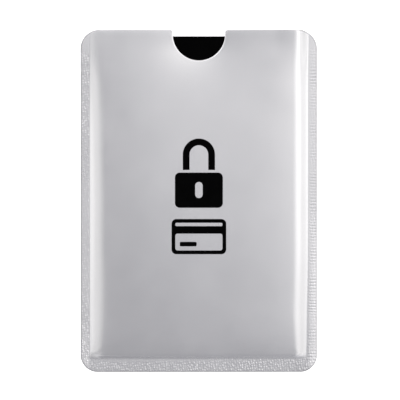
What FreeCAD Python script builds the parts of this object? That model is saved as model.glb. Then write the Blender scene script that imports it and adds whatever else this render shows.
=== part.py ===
import FreeCAD, Part
import Sketcher
import math
import os

# Card sleeve of laminated metal foil with a contactless card in it.
# Millimetres, +Z up. The sleeve lies on its back: width along X, length
# along Y with the open mouth at +Y, thickness along Z from the floor at 0.
# Front and back panels are mirror images about the height z_mid.

doc = FreeCAD.newDocument("card_sleeve")
V = FreeCAD.Vector

# ---------------------------------------------------------------- dimensions
sheet = doc.addObject("Spreadsheet::Sheet", "Params")
DIMS = [
    ("sleeve_width", 63.2),      # over both side seals
    ("sleeve_length", 91.4),     # mouth edge to bottom edge
    ("corner_radius", 4.5),      # two lower corners
    ("mouth_corner", 4.9),       # two corners beside the mouth
    ("side_seal", 2.5),          # width of each side seal band
    ("bottom_seal", 3.6),        # height of the bottom seal band
    ("seal_stop", 5.0),          # side seals end this far below the mouth
    ("flank_run", 1.9),          # side slope, seal line to plateau
    ("bottom_run", 0.45),        # bottom slope, seal line to plateau
    ("bulge", 0.55),             # half the height of the pocket
    ("outer_film", 0.05),        # polyester film
    ("foil_gauge", 0.02),        # aluminium shield
    ("inner_film", 0.08),        # polyethylene sealing film
    ("notch_radius", 7.0),       # thumb notch
    ("notch_drop", 1.1),         # its centre below the mouth edge
    ("notch_lip", 0.6),          # rounding where it meets the mouth
    ("card_width", 53.98),       # ID-1 card
    ("card_length", 85.6),
    ("card_corner", 3.18),
    ("card_drop", 1.65),          # card's top edge below the mouth edge
    ("overlay", 0.06),           # card overlay films
    ("core", 0.25),              # card core sheets
    ("inlay", 0.14),             # antenna carrier
    ("wire", 0.1),               # antenna wire, square
    ("wire_pitch", 0.6),
    ("coil_width", 46.0),        # outermost turn, on centre
    ("coil_length", 76.0),
    ("coil_bend", 2.5),
    ("chip_width", 8.0),
    ("chip_height", 4.4),
    ("chip_gauge", 0.2),
    ("chip_x", 12.0),
    ("ink", 0.02),               # printed pictogram
    ("print_rise", 1.4),         # its middle above the sleeve's middle
]
for row, (alias, number) in enumerate(DIMS, start=1):
    cell = "A%d" % row
    sheet.set(cell, str(number))
    sheet.setAlias(cell, alias)
doc.recompute()


class Dim:
    """A length that knows its number and the expression that gives it."""

    def __init__(self, number, text):
        self.n, self.t = float(number), text

    def __add__(self, other):
        o = dim(other)
        return Dim(self.n + o.n, "(%s + %s)" % (self.t, o.t))

    def __sub__(self, other):
        o = dim(other)
        return Dim(self.n - o.n, "(%s - %s)" % (self.t, o.t))

    def __mul__(self, k):
        return Dim(self.n * k, "(%s * %s)" % (self.t, repr(float(k))))

    def __neg__(self):
        return Dim(-self.n, "(0 - %s)" % self.t)


def dim(value):
    return value if isinstance(value, Dim) else Dim(value, repr(float(value)))


P = {alias: Dim(number, "Params." + alias) for alias, number in DIMS}

half_w = P["sleeve_width"] * 0.5
half_l = P["sleeve_length"] * 0.5
seal_x = half_w - P["side_seal"]                 # side seal line
flat_x = seal_x - P["flank_run"]                 # plateau edge
seal_y = half_l - P["bottom_seal"]               # bottom seal line, below centre
flat_y = seal_y - P["bottom_run"]
stop_y = half_l - P["seal_stop"]
z_mid = P["outer_film"] + P["foil_gauge"] + P["inner_film"] + P["bulge"]
z_top = z_mid * 2.0
card_y = half_l - P["card_drop"] - P["card_length"] * 0.5   # card's middle
card_t = P["overlay"] * 2.0 + P["core"] * 2.0 + P["inlay"]


# ------------------------------------------------------------------ sketches
def plane(body, role):
    return [f for f in body.Origin.OriginFeatures if f.Role == role][0]


def sketch_in(body, name, role, lift=None):
    sk = body.newObject("Sketcher::SketchObject", name)
    sk.AttachmentSupport = (plane(body, role), [""])
    sk.MapMode = "FlatFace"
    if lift is not None:
        sk.AttachmentOffset = FreeCAD.Placement(V(0, 0, lift.n), FreeCAD.Rotation())
        sk.setExpression("AttachmentOffset.Base.z", lift.t)
    return sk


def pin(sk, kind, geo, pos, value):
    """Holds one coordinate of a point at a signed distance from the origin."""
    if value.n >= 0:
        c = Sketcher.Constraint(kind, -1, 1, geo, pos, value.n)
        text = value.t
    else:
        c = Sketcher.Constraint(kind, geo, pos, -1, 1, -value.n)
        text = (-value).t
    i = sk.addConstraint(c)
    sk.setExpression("Constraints[%d]" % i, text)


def polygon(sk, points):
    """Closed polygon, each corner pinned in both directions."""
    first = sk.GeometryCount
    n = len(points)
    for i in range(n):
        (x0, y0), (x1, y1) = points[i], points[(i + 1) % n]
        sk.addGeometry(Part.LineSegment(V(x0.n, y0.n), V(x1.n, y1.n)), False)
    for i in range(n):
        sk.addConstraint(
            Sketcher.Constraint("Coincident", first + i, 2, first + (i + 1) % n, 1)
        )
    for i, (x, y) in enumerate(points):
        pin(sk, "DistanceX", first + i, 1, x)
        pin(sk, "DistanceY", first + i, 1, y)


def outline(sk, steps):
    """Closed outline of level and upright lines.

    steps holds ("H", y) and ("V", x) lines in order. Between two of them may
    stand ("R", r), a rounded corner, or ("U", y), a half circle between two
    upright lines with its centre at height y.
    """
    lines, joints = [], []
    for step in steps:
        if step[0] in "HV":
            lines.append(step)
            joints.append(None)
        else:
            joints[-1] = step
    n = len(lines)

    def corner(i):
        a, b = lines[i], lines[(i + 1) % n]
        return (a[1].n, b[1].n) if a[0] == "V" else (b[1].n, a[1].n)

    ends = []                                     # (leaves line i, enters line i + 1)
    for i in range(n):
        a, b, joint = lines[i], lines[(i + 1) % n], joints[i]
        if joint is not None and joint[0] == "U":
            ends.append(((a[1].n, joint[1].n), (b[1].n, joint[1].n)))
        else:
            ends.append((corner(i), corner(i)))
    way = []                                      # unit direction of each line
    for i in range(n):
        p, q = ends[i - 1][1], ends[i][0]
        length = ((q[0] - p[0]) ** 2 + (q[1] - p[1]) ** 2) ** 0.5
        way.append(((q[0] - p[0]) / length, (q[1] - p[1]) / length))
    for i in range(n):
        joint = joints[i]
        if joint is not None and joint[0] == "R":
            r, (cx, cy) = joint[1].n, ends[i][0]
            d0, d1 = way[i], way[(i + 1) % n]
            ends[i] = (
                (cx - r * d0[0], cy - r * d0[1]),
                (cx + r * d1[0], cy + r * d1[1]),
            )
    ids = []
    for i in range(n):
        p, q = ends[i - 1][1], ends[i][0]
        ids.append(sk.addGeometry(Part.LineSegment(V(*p), V(*q)), False))
    for i, line in enumerate(lines):
        kind = "Horizontal" if line[0] == "H" else "Vertical"
        sk.addConstraint(Sketcher.Constraint(kind, ids[i]))
        pin(sk, "DistanceY" if line[0] == "H" else "DistanceX", ids[i], 1, line[1])
    for i in range(n):
        a, b, joint = ids[i], ids[(i + 1) % n], joints[i]
        if joint is None:
            sk.addConstraint(Sketcher.Constraint("Coincident", a, 2, b, 1))
            continue
        p, q = ends[i]
        d0, d1 = way[i], way[(i + 1) % n]
        left = d0[0] * (q[1] - p[1]) - d0[1] * (q[0] - p[0]) > 0
        if joint[0] == "R":
            r = joint[1].n
            side = r if left else -r
            c = (p[0] - d0[1] * side, p[1] + d0[0] * side)
        else:
            r = abs(q[0] - p[0]) / 2
            c = ((p[0] + q[0]) / 2, p[1])
        a0, a1 = (p, q) if left else (q, p)       # arcs run anticlockwise
        turn_0 = math.atan2(a0[1] - c[1], a0[0] - c[0])
        turn_1 = math.atan2(a1[1] - c[1], a1[0] - c[0])
        while turn_1 <= turn_0 + 1e-9:
            turn_1 += 2 * math.pi
        circle = Part.Circle(V(*c), V(0, 0, 1), r)
        arc = sk.addGeometry(Part.ArcOfCircle(circle, turn_0, turn_1), False)
        into, out_of = (1, 2) if left else (2, 1)
        sk.addConstraint(Sketcher.Constraint("Tangent", a, 2, arc, into))
        sk.addConstraint(Sketcher.Constraint("Tangent", arc, out_of, b, 1))
        if joint[0] == "R":
            k = sk.addConstraint(Sketcher.Constraint("Radius", arc, r))
            sk.setExpression("Constraints[%d]" % k, joint[1].t)
        else:
            pin(sk, "DistanceY", arc, 3, joint[1])


def rounded(sk, x0, x1, y0, y1, r):
    """Rectangle with four rounded corners."""
    outline(sk, [
        ("H", y0), ("R", r), ("V", x1), ("R", r),
        ("H", y1), ("R", r), ("V", x0), ("R", r),
    ])


def new_body(name):
    return doc.addObject("PartDesign::Body", name)


def pad(body, sk, length, both=False):
    f = body.newObject("PartDesign::Pad", body.Name + "_pad")
    f.Profile = sk
    f.Length = length.n
    f.setExpression("Length", length.t)
    f.SideType = "Symmetric" if both else "One side"
    sk.Visibility = False
    return f


def drill(body, sk):
    """Pocket through the whole body, both ways from the sketch."""
    doc.recompute()
    before = body.Shape.Volume
    f = body.newObject("PartDesign::Pocket", body.Name + "_pocket")
    f.Profile = sk
    f.Type = "ThroughAll"
    f.SideType = "Symmetric"
    sk.Visibility = False
    doc.recompute()
    if not body.Shape.Volume < before - 1e-6:
        raise RuntimeError(body.Name + ": the pocket removed nothing")
    return f


def boolean(kind, name, base, tool):
    f = doc.addObject("Part::" + kind, name)
    f.Base, f.Tool = base, tool
    return f


# ------------------------------------------------------- outlines, seen from +Z
notch = [
    ("H", half_l), ("R", P["notch_lip"]),
    ("V", P["notch_radius"]), ("U", half_l - P["notch_drop"]),
    ("V", -P["notch_radius"]), ("R", P["notch_lip"]),
    ("H", half_l),
]

# Whole panel: rounded corners and the thumb notch in the mouth edge.
panel_blank = new_body("panel_blank")
sk = sketch_in(panel_blank, "panel_outline", "XY_Plane")
outline(sk, [
    ("H", -half_l), ("R", P["corner_radius"]),
    ("V", half_w), ("R", P["mouth_corner"]),
] + notch + [
    ("R", P["mouth_corner"]),
    ("V", -half_w), ("R", P["corner_radius"]),
])
pad(panel_blank, sk, z_top)

# The sealing film where it stays free: the pocket and the two unsealed
# tabs beside the mouth. Elsewhere it is fused into the seal bands.
lining_blank = new_body("lining_blank")
sk = sketch_in(lining_blank, "lining_outline", "XY_Plane")
outline(sk, [
    ("H", -seal_y), ("V", seal_x), ("H", stop_y), ("V", half_w), ("R", P["mouth_corner"]),
] + notch + [
    ("R", P["mouth_corner"]), ("V", -half_w), ("H", stop_y), ("V", -seal_x),
])
pad(lining_blank, sk, z_top)


# -------------------------------------------- one block under each film surface
def block_under(name, step):
    """Solid below a film surface: flange, side slopes, bottom slope, plateau."""
    body = new_body(name)
    low = z_mid + step
    high = low + P["bulge"]
    floor = P["outer_film"]
    sk = sketch_in(body, name + "_across", "XZ_Plane")
    polygon(sk, [
        (-half_w, floor), (half_w, floor), (half_w, low), (seal_x, low),
        (flat_x, high), (-flat_x, high), (-seal_x, low), (-half_w, low),
    ])
    pad(body, sk, P["sleeve_length"], both=True)
    sk = sketch_in(body, name + "_along", "YZ_Plane")
    past = half_l + P["bottom_seal"]
    over = high + P["bulge"]
    polygon(sk, [(-past, low), (-seal_y, low), (-flat_y, high), (-flat_y, over), (-past, over)])
    drill(body, sk)
    return body


under_0 = block_under("pocket_face", dim(0.0))
under_1 = block_under("lining_face", P["inner_film"])
under_2 = block_under("foil_face", P["inner_film"] + P["foil_gauge"])
under_3 = block_under("outer_face", P["inner_film"] + P["foil_gauge"] + P["outer_film"])

nodes = {}


def keep(name, obj):
    obj.Label = name
    nodes[name] = obj
    return obj


# ---------------------------------------------------------------- the panels
front_outer = keep("front_outer_film", boolean(
    "Common", "front_outer", boolean("Cut", "outer_sheet", under_3, under_2), panel_blank))
front_foil = keep("front_foil", boolean(
    "Common", "front_shield", boolean("Cut", "foil_sheet", under_2, under_1), panel_blank))
front_inner = keep("front_inner_film", boolean(
    "Common", "front_lining", boolean("Cut", "lining_sheet", under_1, under_0), lining_blank))


def mirrored(name, source):
    f = doc.addObject("Part::Mirroring", name)
    f.Source = source
    f.Normal = V(0, 0, 1)
    f.Base = V(0, 0, z_mid.n)
    f.setExpression("Base.z", z_mid.t)
    return f


keep("back_outer_film", mirrored("back_outer", front_outer))
keep("back_foil", mirrored("back_shield", front_foil))
keep("back_inner_film", mirrored("back_lining", front_inner))


# ---------------------------------------------------------------- seal bands
def box(name, x0, x1, y0, y1, z0, z1):
    f = doc.addObject("Part::Box", name)
    for prop, value in (
        ("Length", x1 - x0), ("Width", y1 - y0), ("Height", z1 - z0),
        ("Placement.Base.x", x0), ("Placement.Base.y", y0), ("Placement.Base.z", z0),
    ):
        f.setExpression(prop, value.t)
    return f


weld_0, weld_1 = z_mid - P["inner_film"], z_mid + P["inner_film"]
keep("left_seal", boolean("Common", "left_weld", box(
    "left_band", -half_w, -seal_x, -half_l, stop_y, weld_0, weld_1), panel_blank))
keep("right_seal", boolean("Common", "right_weld", box(
    "right_band", seal_x, half_w, -half_l, stop_y, weld_0, weld_1), panel_blank))
keep("bottom_seal", boolean("Common", "bottom_weld", box(
    "bottom_band", -seal_x, seal_x, -half_l, -seal_y, weld_0, weld_1), panel_blank))


# -------------------------------------------------------- printed pictograms
# A closed padlock over a card, four patches of ink on the front plateau.
art = doc.addObject("Sketcher::SketchObject", "print_art")
mid = P["print_rise"]
lock_top = mid + 6.2
# bow of the lock
outline(art, [
    ("V", dim(4.3)), ("U", mid + 11.0), ("V", dim(-4.3)), ("H", lock_top + 0.7),
    ("V", dim(-2.5)), ("U", mid + 11.0), ("V", dim(2.5)), ("H", lock_top + 0.7),
])
# case of the lock and its keyhole
rounded(art, dim(-6.4), dim(6.4), mid - 3.2, lock_top, dim(1.3))
outline(art, [
    ("V", dim(1.0)), ("U", mid + 2.7), ("V", dim(-1.0)), ("U", mid + 0.4),
])
# card with a stripe and one short bar
rounded(art, dim(-7.3), dim(7.3), mid - 15.6, mid - 6.2, dim(1.3))
rounded(art, dim(-6.3), dim(6.3), mid - 8.1, mid - 7.2, dim(0.35))
rounded(art, dim(-6.3), dim(6.3), mid - 14.6, mid - 10.1, dim(0.6))
rounded(art, dim(-5.1), dim(-0.6), mid - 13.5, mid - 12.3, dim(0.3))
art.Placement.Base.z = z_top.n
art.setExpression("Placement.Base.z", z_top.t)
ink = doc.addObject("Part::Extrusion", "print_ink")
ink.Base = art
ink.DirMode = "Custom"
ink.Dir = V(0, 0, 1)
ink.Solid = True
ink.FaceMakerClass = "Part::FaceMakerBullseye"
ink.setExpression("LengthFwd", P["ink"].t)
art.Visibility = False
keep("front_print", ink)


# ------------------------------------------------------------------ the card
def card_layer(name, z0, gauge):
    body = new_body(name)
    sk = sketch_in(body, name + "_outline", "XY_Plane", z0)
    half = P["card_width"] * 0.5
    rounded(sk, -half, half, card_y - P["card_length"] * 0.5,
            card_y + P["card_length"] * 0.5, P["card_corner"])
    pad(body, sk, gauge)
    return body


z_card = z_mid - card_t * 0.5
z_inlay = z_card + P["overlay"] + P["core"]
keep("card_back_overlay", card_layer("back_overlay", z_card, P["overlay"]))
keep("card_back_core", card_layer("back_core", z_card + P["overlay"], P["core"]))
inlay_blank = card_layer("inlay_blank", z_inlay, P["inlay"])
core_blank = card_layer("front_core_blank", z_inlay + P["inlay"], P["core"])
keep("card_front_overlay", card_layer(
    "front_overlay", z_inlay + P["inlay"] + P["core"], P["overlay"]))

# Antenna: one wire wound inwards, four turns, corners bent round. Its two
# ends stop under the chip, which bridges the turns between them.
TURNS = 4
half_a, half_b = P["coil_width"] * 0.5, P["coil_length"] * 0.5
path = [("H", half_b + card_y)]
for turn in range(TURNS):
    shrink = P["wire_pitch"] * turn
    inset = P["wire_pitch"] * (turn + 1)
    path += [
        ("V", -(half_a - shrink)), ("H", card_y - (half_b - shrink)),
        ("V", half_a - shrink), ("H", card_y + (half_b - inset)),
    ]
start_x = P["chip_x"] - P["chip_width"] * 0.5 + 1.0
end_x = P["chip_x"] + P["chip_width"] * 0.5 - 1.0
half_wire = P["wire"] * 0.5
# The wire winds anticlockwise, so its inner side faces the coil's middle.
SIDE = {0: ("H", -1), 1: ("V", 1), 2: ("H", 1), 3: ("V", -1)}


def wire_side(toward_middle):
    lines = []
    for i, (kind, at) in enumerate(path):
        sign = SIDE[i % 4][1] * (1 if toward_middle else -1)
        lines.append((kind, at + half_wire * sign))
    return lines


inner_lines, outer_lines = wire_side(True), wire_side(False)
steps = []
for i, line in enumerate(outer_lines):
    steps.append(line)
    if i < len(outer_lines) - 1:
        steps.append(("R", P["coil_bend"] + half_wire))
steps.append(("V", end_x))
for i, line in reversed(list(enumerate(inner_lines))):
    steps.append(line)
    if i > 0:
        steps.append(("R", P["coil_bend"] - half_wire))
steps.append(("V", start_x))
antenna = new_body("antenna")
sk = sketch_in(antenna, "antenna_outline", "XY_Plane", z_inlay)
outline(sk, steps)
pad(antenna, sk, P["wire"])
keep("card_antenna", antenna)

chip_y = card_y + half_b - P["wire_pitch"] * (TURNS * 0.5)
chip = box("chip", P["chip_x"] - P["chip_width"] * 0.5, P["chip_x"] + P["chip_width"] * 0.5,
           chip_y - P["chip_height"] * 0.5, chip_y + P["chip_height"] * 0.5,
           z_inlay + P["wire"], z_inlay + P["wire"] + P["chip_gauge"])
keep("card_chip", chip)
keep("card_inlay", boolean("Cut", "inlay_sheet", boolean(
    "Cut", "inlay_channel", inlay_blank, antenna), chip))
keep("card_front_core", boolean("Cut", "front_core", core_blank, chip))

doc.recompute()

# ------------------------------------------------------------ check and write
for obj in doc.Objects:
    for word in ("Invalid", "Error"):
        if word in obj.State:
            raise RuntimeError("%s is %s" % (obj.Name, obj.State))
for name, obj in nodes.items():
    s = obj.Shape
    if s.isNull() or not s.isValid() or not s.Solids:
        raise RuntimeError(name + " has no valid solid")
    for solid in s.Solids:
        if solid.Volume <= 0:
            raise RuntimeError(name + " has a solid without volume")

os.makedirs("parts", exist_ok=True)
for old in os.listdir("parts"):
    if old.endswith(".step") and old[:-5] not in nodes:
        os.remove(os.path.join("parts", old))
for name, obj in nodes.items():
    obj.Shape.exportStep("parts/%s.step" % name)
    b = obj.Shape.BoundBox
    print("%-20s solids %d  volume %9.3f  x %.2f..%.2f  y %.2f..%.2f  z %.3f..%.3f" % (
        name, len(obj.Shape.Solids), obj.Shape.Volume,
        b.XMin, b.XMax, b.YMin, b.YMax, b.ZMin, b.ZMax))
print("nodes", len(nodes))
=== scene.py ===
import math

import bpy
import numpy as np
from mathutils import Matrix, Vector
from mathutils.geometry import delaunay_2d_cdt


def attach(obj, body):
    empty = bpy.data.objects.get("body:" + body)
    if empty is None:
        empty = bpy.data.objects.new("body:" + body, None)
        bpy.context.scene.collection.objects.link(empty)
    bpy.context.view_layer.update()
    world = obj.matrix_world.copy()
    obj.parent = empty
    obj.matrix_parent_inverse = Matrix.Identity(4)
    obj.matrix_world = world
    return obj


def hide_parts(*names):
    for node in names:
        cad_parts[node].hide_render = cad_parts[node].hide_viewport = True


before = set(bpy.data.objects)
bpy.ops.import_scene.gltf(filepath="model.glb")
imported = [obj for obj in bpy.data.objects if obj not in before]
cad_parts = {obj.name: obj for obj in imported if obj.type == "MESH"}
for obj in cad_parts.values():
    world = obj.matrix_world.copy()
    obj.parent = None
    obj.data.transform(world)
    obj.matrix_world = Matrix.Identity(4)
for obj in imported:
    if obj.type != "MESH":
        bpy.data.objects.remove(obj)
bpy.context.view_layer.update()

MM = 0.001
scene = bpy.context.scene

# ------------------------------------------------------------------ dimensions
# Millimetres, the same frame as the solids: width X, mouth at +Y, back on z = 0.
HALF_W, HALF_L = 31.6, 45.7
CORNER, MOUTH_CORNER = 4.5, 4.9
SEAL_X, SEAL_Y, STOP_Y = 29.1, -42.1, 40.7      # weld lines, and where side welds end
NOTCH_R, NOTCH_Y, NOTCH_LIP = 7.0, 44.6, 0.6
MID = 0.70                                      # height of the plane between the panels
LINING, FOIL, FILM = 0.08, 0.02, 0.05           # layer gauges, pocket side first
POCKET_R = 1.10                                 # the pocket's two lower corners
KNURL_PITCH, KNURL_DEPTH = 0.63, 0.013


# -------------------------------------------------------------- height of films
def smooth(a, b, t):
    t = np.clip((t - a) / (b - a), 0.0, 1.0)
    return t * t * (3 - 2 * t)


def rise(slope, top, steps=1200):
    """Table of the height that a slope adds up to, from 0 to 1."""
    t = np.linspace(0.0, top, steps)
    s = slope(t)
    area = np.concatenate([[0.0], np.cumsum((s[1:] + s[:-1]) * 0.5 * np.diff(t))])
    return t, area / area[-1]


def flank(first, full, ease, flat, settle):
    """At a side the film leaves the weld, bends over the card's edge and settles a little beyond it."""
    return rise(
        lambda t: smooth(-0.10, 0.10, t) * (
            (first + (1 - first) * smooth(0.15, full, t)) * (1 - smooth(ease, flat, t))
            + settle * (1 - smooth(1.0, 11.5, t))
        ), 12.0
    )


LEFT_T, LEFT_H = flank(1.73, 3.06, -0.54, 5.42, 0.052)
RIGHT_T, RIGHT_H = flank(0.47, 1.77, -0.57, 4.05, 0.009)
# At the bottom the weld is close to the card, so the film steps up steeply.
FOOT_T, FOOT_H = rise(lambda t: smooth(-0.05, 0.05, t) * (1 - smooth(0.42, 1.10, t)), 1.2)
# The back panel lies on the floor and goes down to it in a plain bend.
BACK_T, BACK_H = rise(lambda t: smooth(-0.10, 0.10, t) * (1 - smooth(1.2, 2.7, t)), 3.0)
HEEL_T, HEEL_H = rise(lambda t: smooth(-0.05, 0.05, t) * (1 - smooth(0.3, 0.9, t)), 1.0)

rng = np.random.default_rng(7)
WAVES = [
    (rng.uniform(0.10, 0.42), rng.uniform(0, 2 * math.pi), rng.uniform(0, 2 * math.pi), rng.uniform(0.5, 1.0))
    for _ in range(9)
]


def ripple(x, y, seed=0.0):
    """Slow waviness of a laid film, about +-1."""
    total = np.zeros_like(x)
    for k, turn, phase, size in WAVES:
        total += size * np.sin(k * (x * math.cos(turn + seed) + y * math.sin(turn + seed)) + phase + 3 * seed)
    return total / 4.0


def rim_distance(x, y):
    """Distance outside the thumb notch's edge."""
    below = np.hypot(x, y - NOTCH_Y) - NOTCH_R
    return np.where(y > NOTCH_Y, np.abs(x) - NOTCH_R, below)


def edge_distance(x, y):
    """Distance inside the sleeve's outer edge, corners rounded, notch left out."""
    r = np.where(y > 0, MOUTH_CORNER, CORNER)
    qx = np.abs(x) - (HALF_W - r)
    qy = np.abs(y) - (HALF_L - r)
    out = np.hypot(np.maximum(qx, 0), np.maximum(qy, 0)) + np.minimum(np.maximum(qx, qy), 0)
    return r - out


def seal_shift(x, y):
    """How far the flanks lie outside the weld line (right: steeper near the mouth, further in near the bottom)."""
    steep = smooth(0.2, 1.9, SEAL_X - np.abs(x))
    right = (0.10 + 0.30 * steep) * smooth(33.0, 46.0, y) - 0.45 * smooth(-14.0, -38.0, y)
    return np.where(x > 0, right, 0.10)


def pocket(x, y):
    """Depth inside the pocket's line, depth from its side, and how much the bottom counts (0 to 1)."""
    u = SEAL_X - np.abs(x) + seal_shift(x, y)
    cu, cv = np.maximum(POCKET_R - u, 0), np.maximum(POCKET_R - (y - SEAL_Y), 0)
    share = smooth(0.0, 1.0, np.arctan2(cv, cu + 1e-9) / (math.pi / 2))
    return POCKET_R - np.hypot(cu, cv), u, np.where(cu <= 0, 1.0, share)


def tide_of(x, y):
    """0 on the welded rim, 1 where the film lies over the card."""
    u = SEAL_X - np.abs(x)
    tight = 1 + 0.22 * smooth(-28.0, -41.0, y)       # the bends sharpen towards the bottom weld
    tight = tight - np.where(x < 0, 0.10 * smooth(-10.0, -24.0, y), 0.0)
    d = (u + seal_shift(x, y)) * tight
    side = np.where(x < 0, np.interp(d, LEFT_T, LEFT_H), np.interp(d, RIGHT_T, RIGHT_H))
    drape = 1 + np.where(x < 0, 0.7, 1.6) * (1 - smooth(0.9, 3.5, u))      # the step is drawn out round the card's corners
    return side * np.interp((y - SEAL_Y) / drape, FOOT_T, FOOT_H)


def ebb_of(x, y):
    """The same for the back panel."""
    d, u, share = pocket(x, y)
    over = np.interp(np.maximum(u, POCKET_R), BACK_T, BACK_H)
    return (1 - share) * np.interp(d, BACK_T, BACK_H) + share * np.interp(d, HEEL_T, HEEL_H) * over


def incline(t):
    """A slope of 1 that starts softly at 0."""
    t = np.maximum(t, 0)
    return np.where(t < 0.4, t * t / 0.8, t - 0.2)


def rim_height(x, y):
    """How the welded rim stands off its plane: wavy, tipped along each side, one corner curled up."""
    curl = 0.474 * np.exp(-(np.hypot(x + HALF_W, (y - HALF_L) * 1.05) / 22.4) ** 2)
    wave = 0.022 * ripple(x * 0.9, y * 0.9, 2.1)
    out, down = np.maximum(np.abs(x) - SEAL_X, 0), np.maximum(SEAL_Y - y, 0)
    left = 0.036 + 0.070 * smooth(36.0, -36.0, y) + 0.026 * smooth(-30.0, -39.0, y)
    left = left + (0.010 + 0.010 * smooth(27.0, 32.0, y)) * smooth(12.0, 22.0, y) * (1 - smooth(34.0, 40.0, y))
    right = -0.039 + 0.041 * smooth(-30.0, 20.0, y) + 0.016 * smooth(27.0, 38.0, y) - 0.016 * smooth(-34.0, -42.0, y)
    arch = np.where(x > 0, smooth(0.0, -24.0, y), 0.0) * (0.030 * out - 0.015 * out * out)
    low = np.interp(x, [-30.0, -22.0, -12.0, 5.0, 20.0, 25.0, 30.0], [0.076, 0.064, 0.062, 0.044, 0.019, 0.004, 0.020])
    calm = np.where(x < 0, 0.29, 0.0)                # the left lower corner lies flatter than its two bands
    side = np.where(x < 0, left, right) * incline(out) * (1 - calm * smooth(0.0, 2.2, down))
    return curl + wave + arch + side + low * incline(down) * (1 - calm * smooth(0.0, 2.0, out))


def middle(x, y):
    """Height of the plane between the panels, for the front panel."""
    return MID + np.clip(1 - tide_of(x, y), 0, 1) * rim_height(x, y)


def turned_edge(x, y):
    """The die rolls the cut edges down a little."""
    rim = np.clip(1 - np.maximum(rim_distance(x, y), 0) / 0.30, 0, 1)
    out = np.clip(1 - np.maximum(edge_distance(x, y), 0) / 0.16, 0, 1)
    return 0.035 * rim ** 2 + 0.018 * out ** 2


def pucker(x, y):
    """Small pleats that fan out from the pocket's two lower corners."""
    total = np.zeros_like(x)
    for s, turn in ((-1, 0.4), (1, 2.2)):
        dx, dy = x - s * 28.3, y + 41.4
        r, way = np.hypot(dx, dy), np.arctan2(dy, -s * dx)
        total += np.exp(-(r / 3.4) ** 2) * smooth(0.2, 1.4, r) * np.sin(7.0 * way + turn + 0.5 * r)
    return total


def lift_front(x, y):
    """Height of the front panel's pocket face above the middle plane."""
    tide = tide_of(x, y)
    bow = np.clip(1 - (x / 29.0) ** 2, 0, 1)
    crown = 0.115 * bow * np.clip(1 - ((y + 23.7) / 50.0) ** 2, 0, 1)
    swell = 0.086 * np.cos(2 * math.pi * (x + 21.07) / 51.8) * bow * smooth(-60.0, -20.0, y)
    loose = np.where(x < 0, 0.097 * smooth(30.4, 39.4, y), 0.03 * smooth(40.5, HALF_L, y))
    # the mouth's edge stands up beside the notch and lies down at the notch's rim
    late = np.clip((y - 27.7) / 18.3, 0, None) ** 2
    left_part = 0.060 * smooth(3.0, 14.0, -x) * (1 - smooth(16.0, 26.0, -x))
    gape = late * np.where(x > 0, 0.60 * smooth(3.0, 30.3, x), left_part)
    gape = gape + 0.075 * smooth(20.0, 26.0, x) * smooth(36.0, 43.0, y)
    ridge = np.exp(-((x - 22.5) / np.where(x < 22.5, 7.0, 6.0)) ** 2)      # a slight ridge on the right of the mouth
    gape = gape + 0.080 * ridge * smooth(22.0, 31.0, y) * (1 - smooth(37.0, 43.0, y))
    dip = 0.263 * np.exp(-np.maximum(rim_distance(x, y), 0) / 4.24) * smooth(14.0, 30.0, y)
    dip = dip * np.where(x < 0, 1 - 0.80 * smooth(39.5, 46.5, y), 1.0)
    foot = 0.252 * np.exp(-np.maximum(y - SEAL_Y, 0) / 3.18)
    z = loose * (1 - tide) + tide * (0.74 + crown + swell + gape - dip - foot)
    return z + tide * (0.010 * ripple(x, y) + 0.010 * pucker(x, y))


def back_face(x, y):
    """Height of the back panel's pocket face."""
    ebb = ebb_of(x, y)
    loose = np.where(x < 0, 0.12 * smooth(38.0, HALF_L, y), 0.08 * smooth(39.5, HALF_L, y))
    flat = 0.55 - 0.004 * (1 + ripple(x, y, 1.3))
    return MID + (1 - ebb) * (rim_height(x, y) - loose) - ebb * flat


def scatter(i, j, k):
    """A number from 0 to 1 for each cell of a grid."""
    v = np.sin(i * (12.9898 + 7.31 * k) + j * (78.233 - 11.7 * k)) * 43758.5453
    return v - np.floor(v)


def bar_dots(x, y):
    """The sealing bar's teeth, blunted by use: dots on a turned grid, none quite in place or of one height."""
    turn = math.radians(8.0)
    a = (x * math.cos(turn) + y * math.sin(turn)) / KNURL_PITCH
    b = (y * math.cos(turn) - x * math.sin(turn)) / KNURL_PITCH
    total = np.zeros_like(a)
    for da in (-1, 0, 1):
        for db in (-1, 0, 1):
            i, j = np.floor(a) + da, np.floor(b) + db
            ra = a - i - 0.5 - 0.42 * (scatter(i, j, 1) - 0.5)
            rb = b - j - 0.5 - 0.42 * (scatter(i, j, 2) - 0.5)
            total += (0.30 + 1.30 * scatter(i, j, 3)) * np.exp(-(ra * ra + rb * rb) / 0.085)
    return total - 0.25


def cross_ribs(x, y):
    """Fine ribs across the right band, stronger and weaker along it."""
    size = np.clip(0.70 + 1.10 * ripple(1.1 * x + 3.0, 2.6 * y, 0.3), 0.0, 1.35)
    return 0.55 * size * np.sin(2 * math.pi * (y / 0.80 + 0.30 * ripple(1.2 * x, 2.1 * y, 1.7)))


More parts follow.
